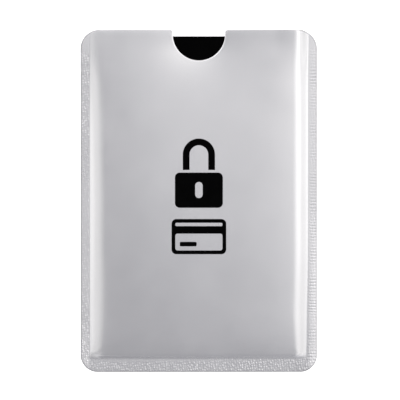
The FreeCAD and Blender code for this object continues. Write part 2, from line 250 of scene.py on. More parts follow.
def teeth(x, y, stop_left=39.3, stop_right=41.6):
    """Marks of the sealing bars on the welded bands, fainter where the bars bore down less. The film's colour also
    takes them as painted highlights on their tops and painted shade in their low parts.
    """
    d, _, low = pocket(x, y)
    stop = np.where(x < 0, stop_left, stop_right)
    side = np.where(x < 0, smooth(0.02, 0.40, -d), smooth(0.30, 0.75, -d)) * (1 - smooth(stop - 0.5, stop + 0.3, y))
    late = 0.70 - 0.45 * smooth(0.0, 15.0, x)        # the bottom bar bit later on the left
    foot = (1 - late) * smooth(0.02, 0.30, -d) + late * smooth(0.6, 1.3, -d)
    on = ((1 - low) * side + low * foot) * smooth(0.10, 0.36, edge_distance(x, y))
    patch = np.clip(0.85 + 0.65 * ripple(1.6 * x + 5.0, 1.6 * y, 0.7), 0.42, 1.20)
    left = 0.85 + 1.4 * smooth(6.0, 24.0, y) * (1 - 0.35 * smooth(33.0, 39.0, y)) + 1.6 * smooth(-10.0, -36.0, y)
    left = left * (1 - 0.30 * smooth(-40.0, -43.0, y))
    right = 1.05 + 0.65 * smooth(-8.0, -24.0, y)
    press = (1 - low) * np.where(x < 0, left, right) + low * 1.7
    even = (0.78 + 0.12 * smooth(-22.0, -8.0, x) + 0.17 * smooth(5.0, 19.0, x)) * (0.88 + 0.18 * patch)
    patch = np.where(x < 0, 0.60 + 0.30 * patch, patch)
    dots = ((1 - low) * patch + low * even) * bar_dots(x, y)
    marks = on * press * np.where(x < 0, dots, low * dots + (1 - low) * (0.5 * dots + cross_ribs(x, y)))
    for at_y, deep in ((33.85, 1.1), (36.3, 0.5), (-35.4, 0.5)):      # nicks across the left band, also painted dark as shade in the film's colour
        marks = marks - deep * np.where(x < 0, smooth(-0.4, 0.3, -d), 0.0) * np.exp(-((y - at_y) / 0.15) ** 2)
    return marks


def knurl(x, y):
    """Height of those marks."""
    return KNURL_DEPTH * teeth(x, y)


# --------------------------------------------------------------------- outlines
def run(a, b, step):
    """Points from a towards b, b left out."""
    n = max(1, int(round(math.hypot(b[0] - a[0], b[1] - a[1]) / step)))
    return [(a[0] + (b[0] - a[0]) * i / n, a[1] + (b[1] - a[1]) * i / n) for i in range(n)]


def arc(c, r, a0, a1, step):
    n = max(3, int(round(abs(a1 - a0) * r / step)))
    return [
        (c[0] + r * math.cos(a0 + (a1 - a0) * i / n), c[1] + r * math.sin(a0 + (a1 - a0) * i / n))
        for i in range(n)
    ]


def mouth_edge(step):
    """From the right corner's end to the left corner's start, round the notch."""
    top = HALF_L
    ix = HALF_W - MOUTH_CORNER
    pts = run((ix, top), (NOTCH_R + NOTCH_LIP, top), step)
    pts += arc((NOTCH_R + NOTCH_LIP, top - NOTCH_LIP), NOTCH_LIP, math.pi / 2, math.pi, 0.08)
    pts += run((NOTCH_R, top - NOTCH_LIP), (NOTCH_R, NOTCH_Y), 0.17)
    pts += arc((0, NOTCH_Y), NOTCH_R, 0, -math.pi, 0.22)
    pts += run((-NOTCH_R, NOTCH_Y), (-NOTCH_R, top - NOTCH_LIP), 0.17)
    pts += arc((-NOTCH_R - NOTCH_LIP, top - NOTCH_LIP), NOTCH_LIP, 0, math.pi / 2, 0.08)
    pts += run((-NOTCH_R - NOTCH_LIP, top), (-ix, top), step)
    return pts


def panel_outline(step=0.17):
    ix, iy = HALF_W - CORNER, HALF_L - CORNER
    mx, my = HALF_W - MOUTH_CORNER, HALF_L - MOUTH_CORNER
    pts = run((-ix, -HALF_L), (ix, -HALF_L), step)
    pts += arc((ix, -iy), CORNER, -math.pi / 2, 0, 0.17)
    pts += run((HALF_W, -iy), (HALF_W, my), step)
    pts += arc((mx, my), MOUTH_CORNER, 0, math.pi / 2, 0.17)
    pts += mouth_edge(0.4)
    pts += arc((-mx, my), MOUTH_CORNER, math.pi / 2, math.pi, 0.17)
    pts += run((-HALF_W, my), (-HALF_W, -iy), step)
    pts += arc((-ix, -iy), CORNER, math.pi, 1.5 * math.pi, 0.17)
    return pts


def lining_outline(step=0.4):
    mx, my = HALF_W - MOUTH_CORNER, HALF_L - MOUTH_CORNER
    pts = run((-SEAL_X, SEAL_Y), (SEAL_X, SEAL_Y), step)
    pts += run((SEAL_X, SEAL_Y), (SEAL_X, STOP_Y), step)
    pts += run((SEAL_X, STOP_Y), (HALF_W, STOP_Y), step)
    pts += run((HALF_W, STOP_Y), (HALF_W, my), step)
    pts += arc((mx, my), MOUTH_CORNER, 0, math.pi / 2, 0.17)
    pts += mouth_edge(0.4)
    pts += arc((-mx, my), MOUTH_CORNER, math.pi / 2, math.pi, 0.17)
    pts += run((-HALF_W, my), (-HALF_W, STOP_Y), step)
    pts += run((-HALF_W, STOP_Y), (-SEAL_X, STOP_Y), step)
    pts += run((-SEAL_X, STOP_Y), (-SEAL_X, SEAL_Y), step)
    return pts


# ----------------------------------------------------------------- point layouts
def lattice(x0, x1, y0, y1, dx, dy, stagger=False):
    xs = np.arange(x0, x1 + 1e-9, dx)
    ys = np.arange(y0, y1 + 1e-9, dy)
    gx, gy = np.meshgrid(xs, ys)
    if stagger:
        gx = gx + (np.arange(len(ys)) % 2)[:, None] * dx * 0.5
    return np.column_stack([gx.ravel(), gy.ravel()])


def panel_points(fine):
    """Points inside the panel: dense on the embossed bands, sparse on the plateau."""
    parts = []
    band = KNURL_PITCH / 5 if fine else 0.9
    grid = lattice(-HALF_W, HALF_W, -HALF_L, HALF_L, band, band)
    on_band = (np.abs(grid[:, 0]) > SEAL_X + 0.07) | (grid[:, 1] < SEAL_Y - 0.07)
    parts.append((grid[on_band], 0.09 if fine else 0.35))
    # weld lines
    lines = [lattice(s * SEAL_X, s * SEAL_X, SEAL_Y, HALF_L, 1, 0.3) for s in (-1, 1)]
    lines.append(lattice(-SEAL_X + 0.3, SEAL_X - 0.3, SEAL_Y, SEAL_Y, 0.3, 1))
    # flanks at the sides
    us = [0.07, 0.15, 0.3, 0.5, 0.75, 1.0, 1.3, 1.6, 1.85, 2.1, 2.35, 2.6, 2.85, 3.1, 3.5, 4.0]
    for s in (-1, 1):
        for i, u in enumerate(us):
            col = lattice(s * (SEAL_X - u), s * (SEAL_X - u), SEAL_Y + 1.4, HALF_L, 1, 0.7)
            col[:, 1] += 0.35 * (i % 2)
            lines.append(col)
    # step at the bottom
    for i, v in enumerate([0.05, 0.1, 0.18, 0.27, 0.36, 0.45, 0.54, 0.64, 0.75, 0.86, 0.97, 1.08, 1.35]):
        row = lattice(-SEAL_X + 0.1, SEAL_X - 0.1, SEAL_Y + v, SEAL_Y + v, 0.45, 1)
        row[:, 0] += 0.225 * (i % 2)
        lines.append(row)
    lines = np.vstack(lines)
    turn = (np.abs(lines[:, 0]) > SEAL_X - 3.4) & (lines[:, 1] < SEAL_Y + 3.4) & (lines[:, 1] > SEAL_Y + 0.01)
    lines = lines[~(turn & (np.abs(lines[:, 0]) < SEAL_X - 0.01))]
    for s in (-1, 1):
        corner = lattice(SEAL_X - 3.3, SEAL_X - 0.1, SEAL_Y + 0.12, SEAL_Y + 3.35, 0.2, 0.19, True)
        lines = np.vstack([lines, corner[corner[:, 0] < SEAL_X - 0.06] * (s, 1)])
    parts.append((lines, 0.12))
    # rings round the notch
    rings = []
    for i, r in enumerate([0.06, 0.13, 0.21, 0.32, 0.5, 0.85, 1.3, 1.8, 2.4, 3.1]):
        n = int(math.pi * (NOTCH_R + r) / (0.3 + 0.12 * r))
        a = np.linspace(-math.pi, 0, n) + (math.pi / n / 2) * (i % 2)
        rings.append(np.column_stack([(NOTCH_R + r) * np.cos(a), NOTCH_Y + (NOTCH_R + r) * np.sin(a)]))
    parts.append((np.vstack(rings), 0.04))
    flat = lattice(-25.0, 25.0, SEAL_Y + 1.75, HALF_L, 0.95, 0.82, True)
    flat = flat[(np.abs(flat[:, 0]) < SEAL_X - 4.4) & (rim_distance(flat[:, 0], flat[:, 1]) > 3.6)]
    parts.append((flat, 0.3))
    kept = []
    for pts, margin in parts:
        ok = edge_distance(pts[:, 0], pts[:, 1]) > margin
        ok &= rim_distance(pts[:, 0], pts[:, 1]) > min(margin, 0.06) - 0.01
        kept.append(pts[ok])
    return np.vstack(kept)


def inside(pts, loop):
    """Which points lie in a closed loop."""
    x, y = pts[:, 0], pts[:, 1]
    odd = np.zeros(len(pts), bool)
    n = len(loop)
    for i in range(n):
        (x0, y0), (x1, y1) = loop[i], loop[(i + 1) % n]
        cross = (y0 > y) != (y1 > y)
        with np.errstate(divide="ignore", invalid="ignore"):
            at = (x1 - x0) * (y - y0) / (y1 - y0) + x0
        odd ^= cross & (x < at)
    return odd


made = {}


def triangulate(outline, inner):
    """Triangles over an outline and points in it. The outline's points come first."""
    key = (id(outline), id(inner))
    if key not in made:
        made[key] = (*triangulated(outline, inner), outline, inner)
    return made[key][:2]


def triangulated(outline, inner):
    pts = np.vstack([np.array(outline), inner]) if len(inner) else np.array(outline)
    n = len(outline)
    edges = [(i, (i + 1) % n) for i in range(n)]
    verts, _, faces, source, _, _ = delaunay_2d_cdt(
        [Vector((float(p[0]), float(p[1]))) for p in pts], edges, [], 1, 1e-6, True
    )
    if len(verts) != len(pts):
        lost = len(pts) - len(verts)
        print("triangulate: merged points", lost)
    back = [s[0] for s in source]
    tris = np.array([[back[i] for i in f] for f in faces])
    rim = (tris < n).all(1)                       # only these can bridge a bay of the outline
    keep = ~rim
    keep[rim] = inside(pts[tris[rim]].mean(1), outline)
    return pts, tris[keep].tolist()


def sheet_object(name, outline, top_inner, low_inner, z_top, z_low, extra=()):
    """Closed thin solid between two surfaces over one outline."""
    top_pts, top_faces = triangulate(outline, top_inner)
    low_pts, low_faces = triangulate(outline, low_inner)
    n, shift = len(outline), len(top_pts)
    zt = z_top(top_pts[:, 0], top_pts[:, 1])
    zl = z_low(low_pts[:, 0], low_pts[:, 1])
    co = np.vstack([np.column_stack([top_pts, zt]), np.column_stack([low_pts, zl])]) * MM
    faces = [tuple(f) for f in top_faces]
    faces += [tuple(i + shift for i in reversed(f)) for f in low_faces]
    faces += [(i, i + shift, (i + 1) % n + shift, (i + 1) % n) for i in range(n)]
    me = bpy.data.meshes.new(name)
    me.from_pydata([tuple(c) for c in co], [], faces)
    me.validate()
    for attr, fn in extra:
        layer = me.attributes.new(attr, "FLOAT", "POINT")
        every = np.vstack([top_pts, low_pts])
        layer.data.foreach_set("value", fn(every[:, 0], every[:, 1]).astype(np.float32))
    me.polygons.foreach_set("use_smooth", np.ones(len(me.polygons), bool))
    me.set_sharp_from_angle(angle=math.radians(50))
    ob = bpy.data.objects.new(name, me)
    scene.collection.objects.link(ob)
    return ob


# ------------------------------------------------------------------- materials
def material(name):
    m = bpy.data.materials.new(name)
    m.use_nodes = True
    nt = m.node_tree
    nt.nodes.clear()
    out = nt.nodes.new("ShaderNodeOutputMaterial")
    bsdf = nt.nodes.new("ShaderNodeBsdfPrincipled")
    nt.links.new(bsdf.outputs[0], out.inputs[0])
    return m, nt, bsdf


def coords(nt, scale=(1, 1, 1)):
    """Object coordinates in millimetres, stretched by scale."""
    tc = nt.nodes.new("ShaderNodeTexCoord")
    mp = nt.nodes.new("ShaderNodeMapping")
    mp.inputs["Scale"].default_value = tuple(1000.0 * s for s in scale)
    nt.links.new(tc.outputs["Object"], mp.inputs["Vector"])
    return mp.outputs["Vector"]


def noise(nt, vector, scale, detail=3.0, rough=0.55, distort=0.0):
    n = nt.nodes.new("ShaderNodeTexNoise")
    n.inputs["Scale"].default_value = scale
    n.inputs["Detail"].default_value = detail
    n.inputs["Roughness"].default_value = rough
    n.inputs["Distortion"].default_value = distort
    nt.links.new(vector, n.inputs["Vector"])
    return n.outputs["Fac"]


def ramp(nt, fac, stops):
    r = nt.nodes.new("ShaderNodeValToRGB")
    while len(r.color_ramp.elements) < len(stops):
        r.color_ramp.elements.new(0.5)
    for e, (pos, value) in zip(r.color_ramp.elements, stops):
        e.position = pos
        e.color = (*value, 1.0) if isinstance(value, tuple) else (value, value, value, 1.0)
    nt.links.new(fac, r.inputs[0])
    return r.outputs[0]


def span(nt, fac, a, b, c, d):
    m = nt.nodes.new("ShaderNodeMapRange")
    m.inputs["From Min"].default_value, m.inputs["From Max"].default_value = a, b
    m.inputs["To Min"].default_value, m.inputs["To Max"].default_value = c, d
    nt.links.new(fac, m.inputs["Value"])
    return m.outputs["Result"]


def maths(nt, op, a, b):
    m = nt.nodes.new("ShaderNodeMath")
    m.operation = op
    for i, v in enumerate((a, b)):
        if isinstance(v, (int, float)):
            m.inputs[i].default_value = v
        else:
            nt.links.new(v, m.inputs[i])
    return m.outputs[0]


def mixed(nt, fac, a, b, kind="MIX"):
    m = nt.nodes.new("ShaderNodeMix")
    m.data_type, m.blend_type = "RGBA", kind
    for i, v in ((0, fac), (6, a), (7, b)):
        if isinstance(v, (int, float)):
            m.inputs[i].default_value = v
        elif isinstance(v, tuple):
            m.inputs[i].default_value = (*v, 1.0)
        else:
            nt.links.new(v, m.inputs[i])
    return m.outputs[2]


def bump(nt, height, strength, distance, under=None):
    b = nt.nodes.new("ShaderNodeBump")
    b.inputs["Strength"].default_value = strength
    b.inputs["Distance"].default_value = distance
    nt.links.new(height, b.inputs["Height"])
    if under is not None:
        nt.links.new(under, b.inputs["Normal"])
    return b.outputs[0]


def attribute(nt, name):
    a = nt.nodes.new("ShaderNodeAttribute")
    a.attribute_name = name
    return a.outputs["Fac"]


def silver_film():
    m, nt, b = material("satin_silver_film")
    v = coords(nt)
    along = coords(nt, (1.0, 0.06, 1.0))
    grain = noise(nt, v, 9.0, 3.0, 0.6)                 # matt tooth, about 0.1 mm
    cloud = noise(nt, v, 0.09, 4.0, 0.6)                # handling haze, about 10 mm
    drawn = noise(nt, along, 2.2, 3.0, 0.6)             # lines from drawing the film
    # patches of wear in the roughness, which also make the painted edge shade uneven
    rub_and_shade_patches = noise(nt, coords(nt, (0.35, 1.0, 1.0)), 1.1, 5.0, 0.7, 0.8)
    edge = attribute(nt, "edge_mm")
    band = attribute(nt, "band")
    # mask of the painted dark line of shade along the cut edges
    edge_shade = span(nt, maths(nt, "ADD", edge, maths(nt, "MULTIPLY", rub_and_shade_patches, 0.4)), 0.33, 0.56, 1.0, 0.0)
    tone = ramp(nt, cloud, [(0.25, (0.750, 0.751, 0.757)), (0.75, (0.774, 0.774, 0.781))])
    tone = mixed(nt, maths(nt, "MULTIPLY", span(nt, drawn, 0.35, 0.75, 0.0, 1.0), 0.10), tone, (0.70, 0.705, 0.715))
    # the welded bands coloured darker, with painted shade in a strip beside the right flank
    tone = mixed(nt, maths(nt, "MULTIPLY", band, 0.34), tone, (0.50, 0.503, 0.51))
    # painted highlights on the marks' raised dots, painted shade in their low parts and nicks
    teeth_glint_and_shade = attribute(nt, "teeth")
    tone = mixed(nt, span(nt, teeth_glint_and_shade, 0.1, 1.8, 0.0, 1.0), tone, (0.95, 0.95, 0.955))
    tone = mixed(nt, span(nt, teeth_glint_and_shade, -0.05, -0.7, 0.0, 0.42), tone, (0.42, 0.42, 0.43))
    # painted shade: a dark line along the cut edges, left off the straight part of the mouth
    tone = mixed(nt, maths(nt, "MULTIPLY", edge_shade, 0.80), tone, (0.40, 0.40, 0.405))
    nt.links.new(tone, b.inputs["Base Color"])
    b.inputs["Metallic"].default_value = 1.0
    dull = maths(nt, "ADD", span(nt, cloud, 0.2, 0.8, 0.215, 0.255), maths(nt, "MULTIPLY", band, 0.05))
    dull = maths(nt, "ADD", dull, maths(nt, "MULTIPLY", span(nt, rub_and_shade_patches, 0.55, 0.8, 0.0, 1.0), 0.03))
    nt.links.new(dull, b.inputs["Roughness"])
    n0 = bump(nt, grain, 0.10, 0.00002)
    n1 = bump(nt, drawn, 0.05, 0.00004, n0)
    nt.links.new(n1, b.inputs["Normal"])
    return m


def foil_metal():
    m, nt, b = material("bright_foil")
    roll = noise(nt, coords(nt, (1.0, 0.03, 1.0)), 6.0, 4.0, 0.65)
    nt.links.new(ramp(nt, roll, [(0.3, (0.80, 0.81, 0.82)), (0.7, (0.90, 0.905, 0.91))]), b.inputs["Base Color"])
    b.inputs["Metallic"].default_value = 1.0
    nt.links.new(span(nt, roll, 0.3, 0.7, 0.18, 0.30), b.inputs["Roughness"])
    nt.links.new(bump(nt, roll, 0.15, 0.00002), b.inputs["Normal"])
    return m


def sealing_film():
    m, nt, b = material("pocket_lining_film")
    v = coords(nt)
    cloud = noise(nt, v, 0.35, 4.0, 0.6)
    grain = noise(nt, v, 7.0, 2.0, 0.5)
    nt.links.new(ramp(nt, cloud, [(0.3, (0.60, 0.61, 0.62)), (0.7, (0.70, 0.71, 0.715))]), b.inputs["Base Color"])
    b.inputs["Metallic"].default_value = 0.35
    b.inputs["Specular IOR Level"].default_value = 0.5
    nt.links.new(span(nt, grain, 0.3, 0.7, 0.34, 0.46), b.inputs["Roughness"])
    nt.links.new(bump(nt, grain, 0.12, 0.00002), b.inputs["Normal"])
    return m


def weld_plastic():
    m, nt, b = material("fused_weld")
    v = coords(nt)
    cloud = noise(nt, v, 0.8, 4.0, 0.6)
    nt.links.new(ramp(nt, cloud, [(0.3, (0.62, 0.63, 0.635)), (0.7, (0.74, 0.745, 0.75))]), b.inputs["Base Color"])
    nt.links.new(span(nt, cloud, 0.3, 0.7, 0.35, 0.5), b.inputs["Roughness"])
    nt.links.new(bump(nt, cloud, 0.2, 0.00003), b.inputs["Normal"])
    return m


def black_ink():
    m, nt, b = material("screen_ink")
    v = coords(nt)
    screen = noise(nt, v, 5.0, 3.0, 0.6)
    cloud = noise(nt, v, 0.5, 3.0, 0.6)
    nt.links.new(ramp(nt, cloud, [(0.3, (0.0004, 0.0004, 0.00045)), (0.75, (0.0013, 0.0013, 0.0014))]), b.inputs["Base Color"])
    b.inputs["Specular IOR Level"].default_value = 0.018
    nt.links.new(span(nt, screen, 0.3, 0.7, 0.42, 0.58), b.inputs["Roughness"])
    nt.links.new(bump(nt, screen, 0.25, 0.00003), b.inputs["Normal"])
    return m


def card_face():
    m, nt, b = material("card_face")
    v = coords(nt)
    tooth = noise(nt, v, 8.0, 2.0, 0.5)
    cloud = noise(nt, v, 0.12, 4.0, 0.6)
    scuff = noise(nt, coords(nt, (1.0, 0.05, 1.0)), 1.6, 5.0, 0.7, 0.3)
    tone = ramp(nt, cloud, [(0.3, (0.0004, 0.0004, 0.00045)), (0.75, (0.0009, 0.0009, 0.001))])
    tone = mixed(nt, maths(nt, "MULTIPLY", span(nt, scuff, 0.62, 0.8, 0.0, 1.0), 0.22), tone, (0.012, 0.012, 0.0125))
    nt.links.new(tone, b.inputs["Base Color"])
    b.inputs["Specular IOR Level"].default_value = 0.014
    nt.links.new(maths(nt, "ADD", span(nt, cloud, 0.3, 0.7, 0.40, 0.48), maths(nt, "MULTIPLY", scuff, 0.08)), b.inputs["Roughness"])
    nt.links.new(bump(nt, tooth, 0.12, 0.00002), b.inputs["Normal"])
    return m


def card_edge():
    m, nt, b = material("card_core_stock")
    v = coords(nt, (1.0, 1.0, 6.0))
    cut = noise(nt, v, 2.5, 4.0, 0.65)
    nt.links.new(ramp(nt, cut, [(0.3, (0.006, 0.006, 0.0065)), (0.75, (0.022, 0.022, 0.023))]), b.inputs["Base Color"])
    b.inputs["Specular IOR Level"].default_value = 0.2
    nt.links.new(span(nt, cut, 0.3, 0.7, 0.5, 0.7), b.inputs["Roughness"])
    nt.links.new(bump(nt, cut, 0.3, 0.00004), b.inputs["Normal"])
    return m


def inlay_sheet():
    m, nt, b = material("card_inlay_sheet")
    cut = noise(nt, coords(nt), 1.4, 4.0, 0.6)
    nt.links.new(ramp(nt, cut, [(0.3, (0.05, 0.05, 0.053)), (0.75, (0.09, 0.09, 0.094))]), b.inputs["Base Color"])
    nt.links.new(span(nt, cut, 0.3, 0.7, 0.5, 0.65), b.inputs["Roughness"])
    nt.links.new(bump(nt, cut, 0.2, 0.00003), b.inputs["Normal"])
    return m


def copper_wire():
    m, nt, b = material("enamelled_copper")
    v = noise(nt, coords(nt), 3.0, 4.0, 0.6)
    nt.links.new(ramp(nt, v, [(0.3, (0.60, 0.27, 0.14)), (0.75, (0.76, 0.40, 0.22))]), b.inputs["Base Color"])
    b.inputs["Metallic"].default_value = 1.0
    nt.links.new(span(nt, v, 0.3, 0.7, 0.22, 0.36), b.inputs["Roughness"])
    nt.links.new(bump(nt, v, 0.1, 0.00001), b.inputs["Normal"])
    return m


def chip_epoxy():
    m, nt, b = material("chip_epoxy")
    v = noise(nt, coords(nt), 6.0, 3.0, 0.6)
    nt.links.new(ramp(nt, v, [(0.3, (0.016, 0.016, 0.018)), (0.75, (0.03, 0.03, 0.033))]), b.inputs["Base Color"])
    nt.links.new(span(nt, v, 0.3, 0.7, 0.35, 0.5), b.inputs["Roughness"])
    nt.links.new(bump(nt, v, 0.2, 0.00002), b.inputs["Normal"])
    return m


SILVER, BRIGHT, LINER = silver_film(), foil_metal(), sealing_film()
WELD, INK = weld_plastic(), black_ink()

# ---------------------------------------------------------------------- panels
outer = panel_outline()
inner_line = lining_outline()
fine, coarse = panel_points(True), panel_points(False)


def in_lining(pts):
    x, y = pts[:, 0], pts[:, 1]
    pocket = (np.abs(x) < SEAL_X - 0.05) & (y > SEAL_Y + 0.04)
    tabs = (y > STOP_Y + 0.25) & (np.abs(x) < HALF_W - 0.25)
    return pts[(pocket | tabs) & (np.abs(np.abs(x) - SEAL_X) > 0.04)]


def band_tone_and_shade(x, y):
    """How much darker the welded bands are coloured: most on the left, least on the right, with a strip of painted
    shade just outside the right flank.
    """
    d, _, low = pocket(x, y)
    # on the right: a strip of painted shade just outside the flank
    strip = 0.04 + 0.28 * smooth(0.0, 0.3, -d) * (1 - smooth(0.4, 0.9, -d))
    left = 0.92 + 0.16 * smooth(10.0, -20.0, y) - 0.40 * smooth(-33.0, -39.0, y)
    side = np.where(x < 0, left, strip + 0.13) * (1 - 0.35 * smooth(38.8, 40.2, y))
    start = np.where(x < 0, (1 - low) * smooth(0.20, 0.65, -d) + low * smooth(0.0, 0.2, -d), smooth(0.0, 0.2, -d))
    return start * ((1 - low) * side + low * 0.50)


def shade_edge_distance(x, y):
    """Distance from the edges that get a painted dark line of shade: all but the straight part of the mouth."""
    mouth = smooth(43.0, 44.6, y) * smooth(-0.5, 2.0, HALF_W - MOUTH_CORNER - np.abs(x))
    return edge_distance(x, y) + 0.6 * mouth


lining_inner = in_lining(coarse)
# values for the film's colour: edge distance for the painted edge shade, the bands' darkening with its painted shade
# strip, and the marks' height for painted highlights and shade
attrs = (
    ("edge_mm", shade_edge_distance),
    ("band", band_tone_and_shade),
    ("teeth", teeth),
)


def front(k, emboss=False):
    def z(x, y):
        low = middle(x, y) + lift_front(x, y) + k
        return low + knurl(x, y) - turned_edge(x, y) if emboss else low
    return z


def back(k, emboss=False):
    def z(x, y):
        high = back_face(x, y) - k
        return high - knurl(x, y) + turned_edge(x, y) if emboss else high
    return z


def panel(name, body, cad, mat, line, top_in, low_in, z_top, z_low):
    ob = sheet_object(name, line, top_in, low_in, z_top, z_low, attrs)
    ob.data.materials.append(mat)
    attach(ob, body)
    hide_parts(cad)
    return ob


L1, L2, L3 = LINING, LINING + FOIL, LINING + FOIL + FILM
panel("front_panel_film", "sleeve", "front_outer_film", SILVER,
      outer, fine, coarse, front(L3, True), front(L2))
panel("front_panel_foil", "sleeve", "front_foil", BRIGHT,
      outer, coarse, coarse, front(L2), front(L1))
panel("front_panel_lining", "sleeve", "front_inner_film", LINER,
      inner_line, lining_inner, lining_inner, front(L1), front(0.0))
panel("back_panel_lining", "sleeve", "back_inner_film", LINER,
      inner_line, lining_inner, lining_inner, back(0.0), back(L1))
panel("back_panel_foil", "sleeve", "back_foil", BRIGHT,
      outer, coarse, coarse, back(L1), back(L2))
panel("back_panel_film", "sleeve", "back_outer_film", SILVER,
      outer, coarse, fine, back(L2), back(L3, True))


# ----------------------------------------------------------------------- welds
def weld(name, cad, line):
    rim = np.array(line)
    lo, hi = rim.min(0), rim.max(0)
    grid = lattice(lo[0], hi[0], lo[1], hi[1], 0.7, 0.7)
    grid = grid[inside(grid, line)]
    near = np.array([np.sqrt(((rim - g) ** 2).sum(1)).min() for g in grid])
    grid = grid[near > 0.25]
    panel(name, "sleeve", cad, WELD, line, grid, grid,
          lambda x, y: middle(x, y) + LINING, lambda x, y: middle(x, y) - LINING)


ix, iy = HALF_W - CORNER, HALF_L - CORNER
dip_x = SEAL_X - ix
foot_y = -iy - math.sqrt(CORNER ** 2 - dip_x ** 2)
turn = math.atan2(foot_y + iy, dip_x)
right_line = run((SEAL_X, STOP_Y), (SEAL_X, foot_y), 0.4) + arc((ix, -iy), CORNER, turn, 0, 0.17)
right_line += run((HALF_W, -iy), (HALF_W, STOP_Y), 0.4) + run((HALF_W, STOP_Y), (SEAL_X, STOP_Y), 0.4)
left_line = [(-x, y) for x, y in right_line][::-1]
foot_line = run((SEAL_X, SEAL_Y), (-SEAL_X, SEAL_Y), 0.4) + run((-SEAL_X, SEAL_Y), (-SEAL_X, foot_y), 0.4)
foot_line += arc((-ix, -iy), CORNER, -math.pi - turn, -math.pi / 2, 0.17) + run((-ix, -HALF_L), (ix, -HALF_L), 0.4)
foot_line += arc((ix, -iy), CORNER, -math.pi / 2, turn, 0.17) + run((SEAL_X, foot_y), (SEAL_X, SEAL_Y), 0.4)
weld("left_weld", "left_seal", left_line)
weld("right_weld", "right_seal", right_line)
weld("bottom_weld", "bottom_seal", foot_line)


# ----------------------------------------------------------------------- print
# A closed padlock over a card, drawn as patches of ink that follow the film.
RISE = 1.4


def round_rect(x0, x1, y0, y1, r, step=0.25):
    pts = run((x0 + r, y0), (x1 - r, y0), step) + arc((x1 - r, y0 + r), r, -math.pi / 2, 0, 0.12)
    pts += run((x1, y0 + r), (x1, y1 - r), step) + arc((x1 - r, y1 - r), r, 0, math.pi / 2, 0.12)
    pts += run((x1 - r, y1), (x0 + r, y1), step) + arc((x0 + r, y1 - r), r, math.pi / 2, math.pi, 0.12)
    pts += run((x0, y1 - r), (x0, y0 + r), step) + arc((x0 + r, y0 + r), r, math.pi, 1.5 * math.pi, 0.12)
    return pts


def shackle():
    y0, yc = RISE + 6.9, RISE + 11.0
    pts = run((4.3, y0), (4.3, yc), 0.25) + arc((0, yc), 4.3, 0, math.pi, 0.15)
    pts += run((-4.3, yc), (-4.3, y0), 0.25) + run((-4.3, y0), (-2.5, y0), 0.25)
    pts += run((-2.5, y0), (-2.5, yc), 0.25) + arc((0, yc), 2.5, math.pi, 0, 0.15)
    pts += run((2.5, yc), (2.5, y0), 0.25) + run((2.5, y0), (4.3, y0), 0.25)
    return pts


def keyhole():
    a, b = RISE + 0.4, RISE + 2.7
    pts = run((1.0, a), (1.0, b), 0.25) + arc((0, b), 1.0, 0, math.pi, 0.12)
    pts += run((-1.0, b), (-1.0, a), 0.25) + arc((0, a), 1.0, math.pi, 2 * math.pi, 0.12)
    return pts


def ink_patch(loops):
    """(points, triangles, loops as index lists) of an outline with holes."""
    pts, edges, rings = [], [], []
    for loop in loops:
        start = len(pts)
        pts += loop
        ring = list(range(start, start + len(loop)))
        rings.append(ring)
        edges += [(ring[i], ring[(i + 1) % len(ring)]) for i in range(len(ring))]
    rim = np.array(pts)
    lo, hi = rim.min(0), rim.max(0)
    grid = lattice(lo[0], hi[0], lo[1], hi[1], 0.6, 0.52, True)
    ok = inside(grid, loops[0])
    for hole in loops[1:]:
        ok &= ~inside(grid, hole)
    near = np.sqrt(((grid[:, None, :] - rim[None, :, :]) ** 2).sum(2)).min(1)
    every = np.vstack([rim, grid[ok & (near > 0.2)]])
    verts, _, faces, source, _, _ = delaunay_2d_cdt(
        [Vector((float(p[0]), float(p[1]))) for p in every], edges, [], 0, 1e-6, True
    )
    back_to = [s[0] for s in source]
    tris = []
    for f in faces:
        ids = [back_to[i] for i in f]
        c = every[ids].mean(0)[None, :]
        if inside(c, loops[0])[0] and not any(inside(c, h)[0] for h in loops[1:]):
            tris.append(ids)
    return every, tris, rings


def print_object():
    marks = [
        [shackle()],
        [round_rect(-6.4, 6.4, RISE - 3.2, RISE + 6.2, 1.3), keyhole()],
        [round_rect(-7.3, 7.3, RISE - 15.6, RISE - 6.2, 1.3),
         round_rect(-6.3, 6.3, RISE - 8.1, RISE - 7.2, 0.35),
         round_rect(-6.3, 6.3, RISE - 14.6, RISE - 10.1, 0.6)],
        [round_rect(-5.1, -0.6, RISE - 13.5, RISE - 12.3, 0.3)],
    ]
    co, faces = [], []
    surface = front(L3)
    for loops in marks:
        pts, tris, rings = ink_patch(loops)
        base = len(co)
        z = surface(pts[:, 0], pts[:, 1])
        n = len(pts)
        co += [(p[0] * MM, p[1] * MM, (h + 0.018) * MM) for p, h in zip(pts, z)]
        co += [(p[0] * MM, p[1] * MM, (h - 0.004) * MM) for p, h in zip(pts, z)]
        faces += [tuple(base + i for i in t) for t in tris]
        faces += [tuple(base + n + i for i in reversed(t)) for t in tris]
        for k, ring in enumerate(rings):
            for i in range(len(ring)):
                a, b = ring[i], ring[(i + 1) % len(ring)]
                quad = (base + a, base + a + n, base + b + n, base + b)
                faces.append(quad if k == 0 else tuple(reversed(quad)))
    me = bpy.data.meshes.new("front_ink")
    me.from_pydata(co, [], faces)
    me.validate()
    me.polygons.foreach_set("use_smooth", np.ones(len(me.polygons), bool))
    me.set_sharp_from_angle(angle=math.radians(50))
    ob = bpy.data.objects.new("front_ink", me)
    scene.collection.objects.link(ob)
    ob.data.materials.append(INK)
    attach(ob, "sleeve")
    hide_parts("front_print")
    return ob


print_object()

# ------------------------------------------------- solids that stay as they are
CARD_FACE, CARD_EDGE = card_face(), card_edge()
KEPT = {
    "card_front_overlay": CARD_FACE, "card_back_overlay": CARD_FACE,
    "card_front_core": CARD_EDGE, "card_back_core": CARD_EDGE,
    "card_inlay": inlay_sheet(), "card_antenna": copper_wire(), "card_chip": chip_epoxy(),
}
for name, mat in KEPT.items():
    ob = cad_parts[name]
    if not ob.material_slots:
        ob.data.materials.append(mat)
    for s in ob.material_slots:
        s.material = mat

